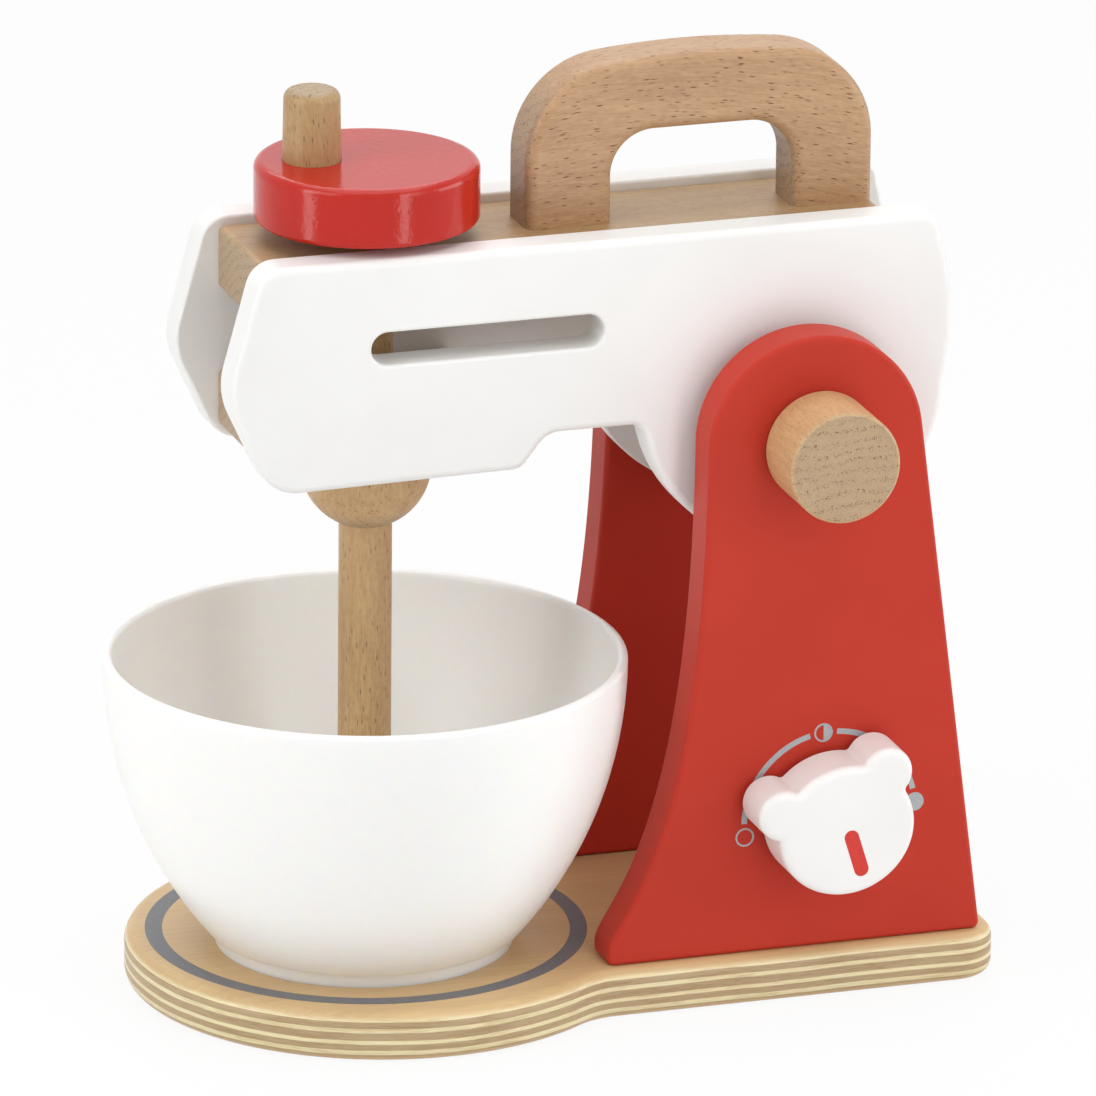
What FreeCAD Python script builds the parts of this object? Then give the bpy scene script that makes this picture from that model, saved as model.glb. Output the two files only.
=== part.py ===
import FreeCAD, Part
import math
import os

# Toy stand mixer of wood: a base board carries two painted uprights, and an arm tilts between them
# on a dowel. A crank disc on the arm turns the beater rod, a loose bowl stands on the base below
# it, and a dial knob turns on the near upright.
#
# Millimetres. +Z is up and +X runs from the bowl to the uprights, so the near side is -Y. The
# origin is on the underside of the base board, straight below the axis of the beater rod.

# ---- Fits and clearances ----
running_fit = 0.08          # radial, dowel that turns in a bore
glued_fit = 0.1             # radial, dowel or screw that is fixed in a bore
face_gap = 0.15             # between flat faces that slide past each other
curved_gap = 0.3            # between curved faces of different bodies

# ---- Stock ----
panel_thickness = 11.0      # uprights
plate_thickness = 9.0       # arm plates
bar_thickness = 14.5        # top bar and handle
bar_width = 34.0            # top bar and nose block, between the arm plates
axle_radius = 6.0           # 12 mm dowel through the uprights
rod_radius = 6.0            # 12 mm dowel of the beater
small_pin_radius = 3.0      # cross pins of the beater and hidden dowels of the arm

# ---- Base board ----
base_thickness = 11.5
base_half_width = 44.2
base_round_radius = 57.8    # round end below the bowl
base_round_x = 3.9          # its centre
base_waist_radius = 16.0    # hollow corner between the round end and the straight sides
base_rear_margin = 4.5      # board behind the feet of the uprights
base_corner_radius = 10.0
base_rounding = 3.0

# ---- Uprights and pivot ----
pivot_x = 92.8
pivot_rise = 118.7          # pivot axis above the base board
arch_forward = 0.5          # centre of the round top ahead of the pivot
arch_radius = 25.2          # round top of the uprights
foot_front = 48.1           # foot of the uprights ahead of the pivot
foot_rear = 40.6            # and behind it
foot_corner = 1.5
flare_height = 11.3         # upright start of the curved front edge
front_straight = 98.5       # length over which the front edge comes down straight from the arch
panel_rounding = 1.2
side_gap = 4.0              # between arm plate and upright, filled by a spacer ring
spacer_radius = 11.0
knob_radius = 12.8
knob_length = 17.7
knob_chamfer = 0.6
knob_socket = 12.0          # depth of the bore in the knob

# ---- Arm, heights from the pivot axis ----
arm_top_rise = 46.8
arm_bottom_drop = 5.7
nose_top_x = -32.0
nose_top_radius = 6.5
nose_tip_x = -40.1
nose_tip_drop = 29.3        # tip of the nose below the top of the arm
nose_tip_radius = 16.0
nose_chin_x = -29.3
nose_chin_radius = 9.5
belly_end_x = 28.2          # lower edge runs from the nose to here
belly_rise = 1.0            # and climbs by this much
belly_radius = 4.0
step_length = 6.2           # slanted step up to the notch ahead of the uprights
step_height = 7.9
step_radius = 6.0
notch_radius = 3.5          # hollow corner between the notch and the lobe
lobe_radius = 35.6          # round rear end of the plates, between the uprights
lobe_forward = 0.7          # its centre ahead of the pivot
lobe_rise = 7.8             # and above it
arm_rear_overhang = 36.3    # widest point of the rear edge behind the pivot
arm_rear_drop = 21.0        # that point below the top of the arm
arm_heel_overhang = 33.6    # end of the top edge behind the pivot
arm_heel_radius = 5.0
plate_outer_rounding = 1.8
plate_inner_rounding = 0.8

slot_front_x = -6.8         # straight window in the plates
slot_rear_x = 47.3
slot_height = 7.6
slot_below_bar = 0.2

# ---- Bars of the arm ----
bar_lip = 2.0               # top bar lies this far below the top of the plates
block_lip = 4.0             # nose block lies this far above their lower edge
block_thickness = 13.3
bar_front_x = -29.6
bar_rear_overhang = 24.2    # rear end of the top bar behind the pivot
block_rear_x = 24.6
bar_rounding = 1.5
arm_dowel_length = 16.0
arm_dowel_in_plate = 6.0
arm_dowel_inset = 12.0      # from the ends of the bars

# ---- Carrying handle ----
handle_front_x = 35.1
handle_length = 81.5
handle_height = 38.1
handle_front_leg = 20.0
handle_rear_leg = 18.8
handle_grip = 17.4          # height of the grip above the opening
handle_outer_radius = 22.0
handle_inner_radius = 10.0
handle_crown_radius = 200.0     # slight arch of the top
handle_rounding = 2.5

# ---- Crank ----
disc_radius = 25.2
disc_thickness = 13.6
disc_top_rounding = 2.0
disc_bottom_rounding = 1.2
washer_radius = 11.0
washer_thickness = 4.0
rod_in_disc = 6.0
peg_x = -11.9
peg_y = 3.0
peg_root_radius = 6.6
peg_tip_radius = 6.3
peg_height = 16.3
peg_in_disc = 6.0
peg_rounding = 2.2

# ---- Beater ----
hub_radius = 14.8
hub_rim_height = 6.2
rod_above_bowl = 18.0       # end of the rod above the floor of the bowl
pin_length = 30.0
lower_pin_height = 6.0      # above the end of the rod
upper_pin_height = 16.0
dowel_rounding = 0.8

# ---- Bowl ----
bowl_x = -1.7
bowl_y = -5.6
bowl_height = 66.9
bowl_rim_radius = 58.9
bowl_flank_radius = 97.5    # side view of the flank, upright at the rim
bowl_wall = 2.2
bowl_floor = 3.0
bowl_foot_radius = 33.6
bowl_foot_height = 3.5
bowl_foot_wall = 4.2
bowl_foot_recess = 1.5
bowl_corner_radius = 8.0    # inside, between floor and flank

# ---- Stop of the arm ----
stop_radius = 4.0
stop_orbit = 18.5           # from the pivot axis
stop_rest_angle = -75.0     # degrees from +X, measured on the arm
stop_open_angle = -10.0
stop_in_panel = 5.0

# ---- Dial ----
dial_behind_pivot = 3.9
dial_rise = 30.5            # above the base board
dial_oval_rise = 1.3        # centre of the oval above the screw, with the ears up
dial_half_length = 16.0
dial_half_height = 15.1
dial_thickness = 13.2
dial_ear_radius = 5.9
dial_ear_x = 12.8           # from the screw
dial_ear_z = 10.5
dial_neck_radius = 1.2      # hollow corner beside the ears
dial_turn_angle = 17.9
dial_front_rounding = 1.8
dial_back_rounding = 1.0
dial_washer_radius = 6.0
dial_washer_thickness = 0.85
dial_screw_radius = 2.0
dial_screw_head_radius = 4.0
dial_screw_head_height = 2.4
dial_screw_in_knob = 10.0

# ---- Wood screws ----
screw_radius = 1.8
screw_head_radius = 3.8
screw_head_recess = 0.5
screw_in_panel = 20.0
screw_in_handle = 15.0
screw_edge_inset = 18.0     # from the ends of the feet of the uprights

# ---- Places that follow from the sizes above ----
pivot_z = base_thickness + pivot_rise
plate_inner_y = bar_width / 2
plate_outer_y = plate_inner_y + plate_thickness
panel_inner_y = plate_outer_y + side_gap
panel_outer_y = panel_inner_y + panel_thickness
panel_mid_y = panel_inner_y + panel_thickness / 2
foot_front_x = pivot_x - foot_front
foot_rear_x = pivot_x + foot_rear
base_rear_x = foot_rear_x + base_rear_margin

arm_top_z = pivot_z + arm_top_rise
arm_bottom_z = pivot_z - arm_bottom_drop
bar_top_z = arm_top_z - bar_lip
bar_bottom_z = bar_top_z - bar_thickness
block_bottom_z = arm_bottom_z + block_lip
block_top_z = block_bottom_z + block_thickness
bar_rear_x = pivot_x + bar_rear_overhang
slot_mid_z = bar_bottom_z - slot_below_bar - slot_height / 2

disc_bottom_z = bar_top_z + face_gap + washer_thickness
disc_top_z = disc_bottom_z + disc_thickness
hub_top_z = block_bottom_z - 2 * face_gap
bowl_floor_z = base_thickness + bowl_foot_recess + bowl_floor
rod_end_z = bowl_floor_z + rod_above_bowl
rod_top_z = disc_bottom_z + rod_in_disc

stop_x = pivot_x + stop_orbit * math.cos(math.radians(stop_rest_angle))
stop_z = pivot_z + stop_orbit * math.sin(math.radians(stop_rest_angle))
dial_x = pivot_x + dial_behind_pivot
dial_z = base_thickness + dial_rise
dial_back_y = -panel_outer_y - face_gap - dial_washer_thickness

X = FreeCAD.Vector(1, 0, 0)
Y = FreeCAD.Vector(0, 1, 0)
Z = FreeCAD.Vector(0, 0, 1)
SAME = 0.001                # two places closer than this are the same


# ---- Tools for outlines and solids ----
def side(x, z, y=0.0):
    """Point of a side view, which is drawn in the XZ plane."""
    return FreeCAD.Vector(x, y, z)


def line(start, end):
    return Part.LineSegment(start, end).toShape()


def arc(start, through, end):
    return Part.Arc(start, through, end).toShape()


def on_circle(centre, radius, angle):
    """Point of a circle in a side view, at an angle in degrees from +X towards +Z."""
    turn = math.radians(angle)
    return centre + FreeCAD.Vector(radius * math.cos(turn), 0, radius * math.sin(turn))


def rounded_run(corners):
    """Edges through (point, radius) corners, with a tangent arc of that radius at each inner one."""
    edges = []
    start = corners[0][0]
    for (before, _), (corner, radius), (after, _) in zip(corners, corners[1:], corners[2:]):
        back = (before - corner).normalize()
        ahead = (after - corner).normalize()
        half_angle = back.getAngle(ahead) / 2
        reach = radius / math.tan(half_angle)
        centre = corner + (back + ahead).normalize() * (radius / math.sin(half_angle))
        middle = centre + (corner - centre).normalize() * radius
        edges.append(line(start, corner + back * reach))
        edges.append(arc(corner + back * reach, middle, corner + ahead * reach))
        start = corner + ahead * reach
    edges.append(line(start, corners[-1][0]))
    return edges


def slab(edges, start, thickness, along=Y):
    """Solid of a closed outline, moved to a start along one axis and extruded along it."""
    face = Part.Face(Part.Wire(Part.__sortEdges__(edges)))
    face.translate(along * start)
    return face.extrude(along * thickness)


def box(x0, x1, y0, y1, z0, z1):
    return Part.makeBox(x1 - x0, y1 - y0, z1 - z0, FreeCAD.Vector(x0, y0, z0))


def rod(radius, start, end):
    """Round bar from one point to another."""
    return Part.makeCylinder(radius, (end - start).Length, start, end - start)


def edges_at(solid, axis, place):
    """Edges of a solid that lie in the plane at a place along an axis."""
    found = []
    for edge in solid.Edges:
        first = edge.FirstParameter
        last = edge.LastParameter
        points = [edge.valueAt(first + (last - first) * share) for share in (0, 0.3, 0.7, 1)]
        if all(abs(point.dot(axis) - place) < SAME for point in points):
            found.append(edge)
    return found


def corner_edges(solid, axis):
    """Straight edges along an axis where two different faces meet at an angle."""
    found = []
    for edge in solid.Edges:
        run = edge.Vertexes[-1].Point - edge.Vertexes[0].Point
        faces = solid.ancestorsOfType(edge, Part.Face)
        if run.Length < SAME or abs(run.dot(axis)) < run.Length - SAME or len(faces) < 2:
            continue
        middle = edge.valueAt((edge.FirstParameter + edge.LastParameter) / 2)
        normals = [face.normalAt(*face.Surface.parameter(middle)) for face in faces]
        if abs(normals[0].dot(normals[1])) < 1 - SAME:
            found.append(edge)
    return found


def rounded_slab(edges, start, thickness, roundings, along=Y):
    """Slab whose rims at its start and end are rounded by the two given radii."""
    solid = slab(edges, start, thickness, along)
    for place, radius in zip((start, start + thickness), roundings):
        solid = solid.makeFillet(radius, edges_at(solid, along, place))
    return solid


def rounded_box(x0, x1, y0, y1, z0, z1, radius):
    """Bar with all of its edges rounded."""
    solid = box(x0, x1, y0, y1, z0, z1)
    return solid.makeFillet(radius, solid.Edges)


def turned(profile, x=0.0, y=0.0):
    """Solid of revolution about an upright axis, from a closed outline in the XZ plane."""
    solid = Part.Face(Part.Wire(Part.__sortEdges__(profile))).revolve(FreeCAD.Vector(), Z, 360)
    solid.translate(FreeCAD.Vector(x, y, 0))
    return solid


def wood_screw(point, direction, length):
    """Countersunk screw with its head face at a point; the head is a cone of 90 degrees."""
    head_height = screw_head_radius - screw_radius
    head = Part.makeCone(screw_head_radius, screw_radius, head_height, point, direction)
    shank = Part.makeCylinder(screw_radius, length, point, direction)
    return head.fuse(shank).removeSplitter()


def screw_hole(point, direction, length):
    """Hole for a wood screw, with its countersink and the recess over the head."""
    head_height = screw_head_radius - screw_radius
    wide = screw_head_radius + glued_fit
    mouth = Part.makeCylinder(wide, 2 * screw_head_recess, point - direction * 2 * screw_head_recess,
                              direction)
    cone = Part.makeCone(wide, screw_radius + glued_fit, head_height, point, direction)
    shank = Part.makeCylinder(screw_radius + glued_fit, length + glued_fit, point, direction)
    return mouth.fuse([cone, shank])


def save(name, *solids):
    """Write one node, as a single solid or as a group of like solids."""
    for solid in solids:
        if not solid.isValid() or len(solid.Solids) != 1:
            raise ValueError(name + " is not one valid solid")
    shape = solids[0].Solids[0] if len(solids) == 1 else Part.Compound(list(solids))
    shape.exportStep("parts/" + name + ".step")


# ---- Holes and fasteners that two pieces share ----
def axle_bore(fit):
    return rod(axle_radius + fit, side(pivot_x, pivot_z, -panel_outer_y - knob_length),
               side(pivot_x, pivot_z, panel_outer_y + knob_length))


def rod_bore(fit):
    return rod(rod_radius + fit, side(0, rod_end_z), side(0, rod_top_z))


def stop_bore(fit):
    reach = panel_inner_y + stop_in_panel
    return rod(stop_radius + fit, side(stop_x, stop_z, -reach), side(stop_x, stop_z, reach))


def base_screw_places():
    """Head faces of the four screws that come up through the base board into the uprights."""
    height = screw_head_recess
    return [FreeCAD.Vector(x, sign * panel_mid_y, height)
            for sign in (-1, 1)
            for x in (foot_front_x + screw_edge_inset, foot_rear_x - screw_edge_inset)]


def handle_screw_places():
    """Head faces of the two screws that go up through the top bar into the legs of the handle."""
    front_leg_x = handle_front_x + handle_front_leg / 2
    rear_leg_x = handle_front_x + handle_length - handle_rear_leg / 2
    return [side(x, bar_bottom_z + screw_head_recess) for x in (front_leg_x, rear_leg_x)]


def arm_dowels(fit, end_gap):
    """Hidden dowels between the plates and the bars; each end stops short by a gap."""
    mid_bar_z = bar_bottom_z + bar_thickness / 2
    mid_block_z = block_bottom_z + block_thickness / 2
    places = [(bar_front_x + arm_dowel_inset, mid_bar_z), (bar_rear_x - arm_dowel_inset, mid_bar_z),
              (bar_front_x + arm_dowel_inset, mid_block_z), (block_rear_x - arm_dowel_inset, mid_block_z)]
    outer = plate_inner_y + arm_dowel_in_plate - end_gap
    inner = plate_inner_y + arm_dowel_in_plate - arm_dowel_length + end_gap
    return [rod(small_pin_radius + fit, side(x, z, sign * inner), side(x, z, sign * outer))
            for sign in (-1, 1) for x, z in places]


base_screw_length = base_thickness - screw_head_recess + screw_in_panel
handle_screw_length = bar_thickness - screw_head_recess + screw_in_handle


# ---- Base board ----
def base_board():
    """Board with a round end for the bowl, a waist and two rear corners."""
    waist_reach = base_round_radius + base_waist_radius
    waist_side = base_half_width + base_waist_radius
    waist_x = base_round_x + math.sqrt(waist_reach ** 2 - waist_side ** 2)
    round_centre = FreeCAD.Vector(base_round_x, 0, 0)
    edges = []
    joins = {}
    for sign in (-1, 1):
        waist_centre = FreeCAD.Vector(waist_x, sign * waist_side, 0)
        towards_round = (round_centre - waist_centre).normalize()
        on_round = waist_centre + towards_round * base_waist_radius
        on_side = FreeCAD.Vector(waist_x, sign * base_half_width, 0)
        middle = waist_centre + (towards_round + Y * -sign).normalize() * base_waist_radius
        edges.append(arc(on_round, middle, on_side))
        joins[sign] = (on_round, on_side)
    edges.append(arc(joins[-1][0], round_centre - X * base_round_radius, joins[1][0]))
    edges += rounded_run([
        (joins[-1][1], 0),
        (FreeCAD.Vector(base_rear_x, -base_half_width, 0), base_corner_radius),
        (FreeCAD.Vector(base_rear_x, base_half_width, 0), base_corner_radius),
        (joins[1][1], 0),
    ])
    board = rounded_slab(edges, 0, base_thickness, (base_rounding, base_rounding), Z)
    holes = [screw_hole(place, Z, base_screw_length) for place in base_screw_places()]
    return board.cut(holes)


# ---- Uprights ----
def upright_outline():
    """Side view: round arch near the pivot, straight sloping rear edge and curved front edge."""
    arch = side(pivot_x - arch_forward, pivot_z)
    front_foot = side(foot_front_x, base_thickness)
    rear_foot = side(foot_rear_x, base_thickness)
    arch_front = on_circle(arch, arch_radius, 180)
    front = Part.BezierCurve()
    front.setPoles([front_foot + Z * 2 * foot_corner, front_foot + Z * flare_height,
                    arch_front - Z * front_straight, arch_front])
    # the rear edge touches the arch: the radius there is square to it
    to_foot = rear_foot - arch
    lean = math.degrees(math.atan2(to_foot.z, to_foot.x))
    tangent_angle = lean + math.degrees(math.acos(arch_radius / to_foot.Length))
    arch_rear = on_circle(arch, arch_radius, tangent_angle)
    arch_top = on_circle(arch, arch_radius, (180 + tangent_angle) / 2)
    foot = rounded_run([(arch_rear, 0), (rear_foot, foot_corner), (front_foot, foot_corner),
                        (front_foot + Z * 2 * foot_corner, 0)])
    return [front.toShape(), arc(arch_front, arch_top, arch_rear)] + foot


def upright(sign):
    """Painted panel that stands on the base board, on the near (-1) or far (+1) side."""
    start = panel_inner_y if sign > 0 else -panel_outer_y
    panel = rounded_slab(upright_outline(), start, panel_thickness, (panel_rounding, panel_rounding))
    holes = [axle_bore(running_fit), stop_bore(glued_fit)]
    holes += [screw_hole(place, Z, base_screw_length) for place in base_screw_places()]
    if sign < 0:
        holes.append(rod(dial_screw_radius + running_fit, side(dial_x, dial_z, -panel_outer_y),
                         side(dial_x, dial_z, -panel_inner_y)))
    return panel.cut(holes)


def base_screws():
    return [wood_screw(place, Z, base_screw_length) for place in base_screw_places()]


def stop_dowel():
    """Dowel across the uprights, on which the lowered arm rests."""
    reach = panel_inner_y + stop_in_panel - glued_fit
    return rod(stop_radius, side(stop_x, stop_z, -reach), side(stop_x, stop_z, reach))


def pivot_spacer(sign):
    """Ring on the axle that fills the gap between an arm plate and its upright."""
    inner = side(pivot_x, pivot_z, sign * (plate_outer_y + face_gap))
    outer = side(pivot_x, pivot_z, sign * panel_inner_y)
    return rod(spacer_radius, inner, outer).cut(axle_bore(curved_gap))


# ---- Arm ----
def plate_outline():
    """Side view of the arm plate, from the notch round the nose, the top and the rear lobe."""
    notch_z = arm_bottom_z + belly_rise + step_height
    lobe = side(pivot_x - lobe_forward, pivot_z + lobe_rise)
    notch_centre_z = notch_z - notch_radius
    across = math.sqrt((lobe_radius + notch_radius) ** 2 - (lobe.z - notch_centre_z) ** 2)
    notch = side(lobe.x - across, notch_centre_z)
    towards_lobe = (lobe - notch).normalize()
    notch_end = notch + towards_lobe * notch_radius
    notch_middle = notch + (towards_lobe + Z).normalize() * notch_radius
    rear_start = on_circle(lobe, lobe_radius, 0)
    rear_bulge = side(pivot_x + arm_rear_overhang, arm_top_z - arm_rear_drop)
    heel = side(pivot_x + arm_heel_overhang, arm_top_z)
    rear_end = heel - Z * arm_heel_radius
    top_end = heel - X * arm_heel_radius
    heel_centre = heel - (X + Z) * arm_heel_radius
    heel_middle = heel_centre + (X + Z).normalize() * arm_heel_radius
    run = rounded_run([
        (top_end, 0),
        (side(nose_top_x, arm_top_z), nose_top_radius),
        (side(nose_tip_x, arm_top_z - nose_tip_drop), nose_tip_radius),
        (side(nose_chin_x, arm_bottom_z), nose_chin_radius),
        (side(belly_end_x, arm_bottom_z + belly_rise), belly_radius),
        (side(belly_end_x + step_length, notch_z), step_radius),
        (side(notch.x, notch_z), 0),
    ])
    lobe_bottom = on_circle(lobe, lobe_radius, -90)
    return run + [arc(side(notch.x, notch_z), notch_middle, notch_end),
                  arc(notch_end, lobe_bottom, rear_start),
                  arc(rear_start, rear_bulge, rear_end),
                  arc(rear_end, heel_middle, top_end)]


def window_outline():
    """Straight window with round ends, just below the top bar."""
    radius = slot_height / 2
    top = slot_mid_z + radius
    bottom = slot_mid_z - radius
    front = slot_front_x + radius
    rear = slot_rear_x - radius
    return [line(side(front, bottom), side(rear, bottom)),
            arc(side(rear, bottom), side(slot_rear_x, slot_mid_z), side(rear, top)),
            line(side(rear, top), side(front, top)),
            arc(side(front, top), side(slot_front_x, slot_mid_z), side(front, bottom))]


def stop_slot_outline():
    """Curved slot about the pivot, in which the stop dowel runs as the arm tilts."""
    pivot = side(pivot_x, pivot_z)
    half = stop_radius + curved_gap
    inner = stop_orbit - half
    outer = stop_orbit + half
    low = stop_rest_angle
    high = stop_open_angle
    middle = (low + high) / 2
    low_end = on_circle(on_circle(pivot, stop_orbit, low), half, low - 90)
    high_end = on_circle(on_circle(pivot, stop_orbit, high), half, high + 90)
    corner = {(radius, angle): on_circle(pivot, radius, angle)
              for radius in (inner, outer) for angle in (low, high)}
    return [arc(corner[inner, low], on_circle(pivot, inner, middle), corner[inner, high]),
            arc(corner[inner, high], high_end, corner[outer, high]),
            arc(corner[outer, high], on_circle(pivot, outer, middle), corner[outer, low]),
            arc(corner[outer, low], low_end, corner[inner, low])]


def arm_plate(sign):
    """Painted side plate of the arm, rounded more on its outer face than on its inner one."""
    start = plate_inner_y if sign > 0 else -plate_outer_y
    roundings = (plate_inner_rounding, plate_outer_rounding)
    if sign < 0:
        roundings = (plate_outer_rounding, plate_inner_rounding)
    plate = rounded_slab(plate_outline(), start, plate_thickness, roundings)
    window = slab(window_outline(), start, plate_thickness)
    plate = plate.cut(window)
    outer_place = sign * plate_outer_y
    rim = [edge for edge in edges_at(plate, Y, outer_place)
           if slot_front_x - SAME < edge.BoundBox.XMin and edge.BoundBox.XMax < slot_rear_x + SAME
           and abs(edge.BoundBox.Center.z - slot_mid_z) < slot_height]
    plate = plate.makeFillet(plate_inner_rounding, rim)
    holes = [slab(stop_slot_outline(), start, plate_thickness), axle_bore(glued_fit)]
    return plate.cut(holes + arm_dowels(glued_fit, 0))


def arm_top_bar():
    """Bar between the plates that carries the crank and the handle."""
    bar = rounded_box(bar_front_x, bar_rear_x, -plate_inner_y, plate_inner_y,
                      bar_bottom_z, bar_top_z, bar_rounding)
    holes = [rod_bore(running_fit)] + arm_dowels(glued_fit, 0)
    holes += [screw_hole(place, Z, handle_screw_length) for place in handle_screw_places()]
    return bar.cut(holes)


def arm_nose_block():
    """Block between the plates that guides the beater rod below."""
    block = rounded_box(bar_front_x, block_rear_x, -plate_inner_y, plate_inner_y,
                        block_bottom_z, block_top_z, bar_rounding)
    return block.cut([rod_bore(running_fit)] + arm_dowels(glued_fit, 0))


def handle_screws():
    return [wood_screw(place, Z, handle_screw_length) for place in handle_screw_places()]


def handle_top_edges(front, rear, top):
    """Crowned top of the handle with its two corner arcs, from the rear leg to the front leg."""
    crown = side((front + rear) / 2, top - handle_crown_radius)
    across = (rear - front) / 2 - handle_outer_radius
    lift = math.sqrt((handle_crown_radius - handle_outer_radius) ** 2 - across ** 2)
    edges = []
    ends = {}
    for sign in (1, -1):
        corner = crown + side(sign * across, lift)
        outwards = (corner - crown).normalize()
        ends[sign] = (corner + X * sign * handle_outer_radius, corner + outwards * handle_outer_radius)
        middle = corner + (outwards + X * sign).normalize() * handle_outer_radius
        edges.append(arc(ends[sign][0], middle, ends[sign][1]))
    edges.append(arc(ends[1][1], crown + Z * handle_crown_radius, ends[-1][1]))
    return edges, ends[1][0], ends[-1][0]


def carry_handle():
    """Arched handle cut from one board, with two legs on the top bar."""
    front = handle_front_x
    rear = front + handle_length
    top = bar_top_z + handle_height
    opening_top = top - handle_grip
    edges, rear_shoulder, front_shoulder = handle_top_edges(front, rear, top)
    edges += rounded_run([
        (side(front + handle_front_leg, bar_top_z), 0),
        (side(front + handle_front_leg, opening_top), handle_inner_radius),
        (side(rear - handle_rear_leg, opening_top), handle_inner_radius),
        (side(rear - handle_rear_leg, bar_top_z), 0),
    ])
    edges.append(line(side(rear, bar_top_z), rear_shoulder))
    edges.append(line(side(front, bar_top_z), front_shoulder))
    for start, end in ((front, front + handle_front_leg), (rear - handle_rear_leg, rear)):
        edges.append(line(side(start, bar_top_z), side(end, bar_top_z)))
    handle = slab(edges, -bar_thickness / 2, bar_thickness)
    rims = [edge for place in (-bar_thickness / 2, bar_thickness / 2)
            for edge in edges_at(handle, Y, place) if edge.BoundBox.ZMax > bar_top_z + SAME]
    handle = handle.makeFillet(handle_rounding, rims)
    return handle.cut([screw_hole(place, Z, handle_screw_length) for place in handle_screw_places()])


def pivot_axle():
    """Dowel through both uprights and both plates, glued into the plates and the knobs."""
    reach = panel_outer_y + curved_gap + knob_socket - glued_fit
    return rod(axle_radius, side(pivot_x, pivot_z, -reach), side(pivot_x, pivot_z, reach))


def pivot_knob(sign):
    """Round knob on one end of the axle, with its edges just broken."""
    inner = side(pivot_x, pivot_z, sign * (panel_outer_y + curved_gap))
    outer = inner + Y * sign * knob_length
    knob = rod(knob_radius, inner, outer)
    rims = [edge for place in (inner.y, outer.y) for edge in edges_at(knob, Y, place)]
    knob = knob.makeChamfer(knob_chamfer, rims)
    return knob.cut(rod(axle_radius + glued_fit, inner, inner + Y * sign * knob_socket))


# ---- Crank and beater ----
def crank_disc():
    """Disc with a blind bore for the rod below and one for the peg above."""
    disc = rod(disc_radius, side(0, disc_bottom_z), side(0, disc_top_z))
    disc = disc.makeFillet(disc_top_rounding, edges_at(disc, Z, disc_top_z))
    disc = disc.makeFillet(disc_bottom_rounding, edges_at(disc, Z, disc_bottom_z))
    peg_floor = FreeCAD.Vector(peg_x, peg_y, disc_top_z - peg_in_disc)
    peg_hole = Part.makeCylinder(peg_root_radius + glued_fit, peg_in_disc, peg_floor)
    return disc.cut([rod_bore(glued_fit), peg_hole])


def crank_peg():
    """Grip peg, cylindrical in the disc and slightly tapered above it, with a rounded top."""
    tip_z = disc_top_z + peg_height
    floor_z = disc_top_z - peg_in_disc + glued_fit
    profile = rounded_run([
        (side(0, floor_z), 0),
        (side(peg_root_radius, floor_z), dowel_rounding),
        (side(peg_root_radius, disc_top_z), 0),
    ]) + rounded_run([
        (side(peg_root_radius, disc_top_z), 0),
        (side(peg_tip_radius, tip_z), peg_rounding),
        (side(0, tip_z), 0),
    ]) + [line(side(0, tip_z), side(0, floor_z))]
    return turned(profile, peg_x, peg_y)


def crank_washer():
    """Wooden washer that holds the disc clear of the plates, glued to the disc."""
    washer = rod(washer_radius, side(0, bar_top_z + face_gap), side(0, disc_bottom_z))
    return washer.cut(rod_bore(glued_fit))


def beater_pin_places():
    return [(X, rod_end_z + lower_pin_height), (Y, rod_end_z + upper_pin_height)]


def beater_rod():
    """Dowel from the disc down into the bowl, cross-drilled for the pins."""
    dowel = rod(rod_radius, side(0, rod_end_z), side(0, rod_top_z - glued_fit))
    dowel = dowel.makeFillet(dowel_rounding, edges_at(dowel, Z, rod_end_z))
    holes = [rod(small_pin_radius + glued_fit, side(0, z) - along * rod_radius * 2,
                 side(0, z) + along * rod_radius * 2) for along, z in beater_pin_places()]
    return dowel.cut(holes)


def beater_hub():
    """Half ball on the rod, which keeps the crank from lifting out of the arm."""
    centre = side(0, hub_top_z - hub_rim_height)
    rim = centre + X * hub_radius
    bottom = centre - Z * hub_radius
    profile = [line(side(0, hub_top_z), side(hub_radius, hub_top_z)),
               line(side(hub_radius, hub_top_z), rim),
               arc(rim, centre + (X - Z).normalize() * hub_radius, bottom),
               line(bottom, side(0, hub_top_z))]
    return turned(profile).cut(rod_bore(glued_fit))


def beater_pin(along, z):
    """Cross pin of the beater, with rounded ends."""
    half = along * (pin_length / 2)
    pin = rod(small_pin_radius, side(0, z) - half, side(0, z) + half)
    rims = [edge for place in (-pin_length / 2, pin_length / 2) for edge in edges_at(pin, along, place)]
    return pin.makeFillet(dowel_rounding, rims)


# ---- Bowl ----
def flank_radius_at(height):
    """Outer radius of the bowl at a height above its foot face, from the arc of its side view."""
    below_rim = bowl_height - height
    return bowl_rim_radius - bowl_flank_radius + math.sqrt(bowl_flank_radius ** 2 - below_rim ** 2)


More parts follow.
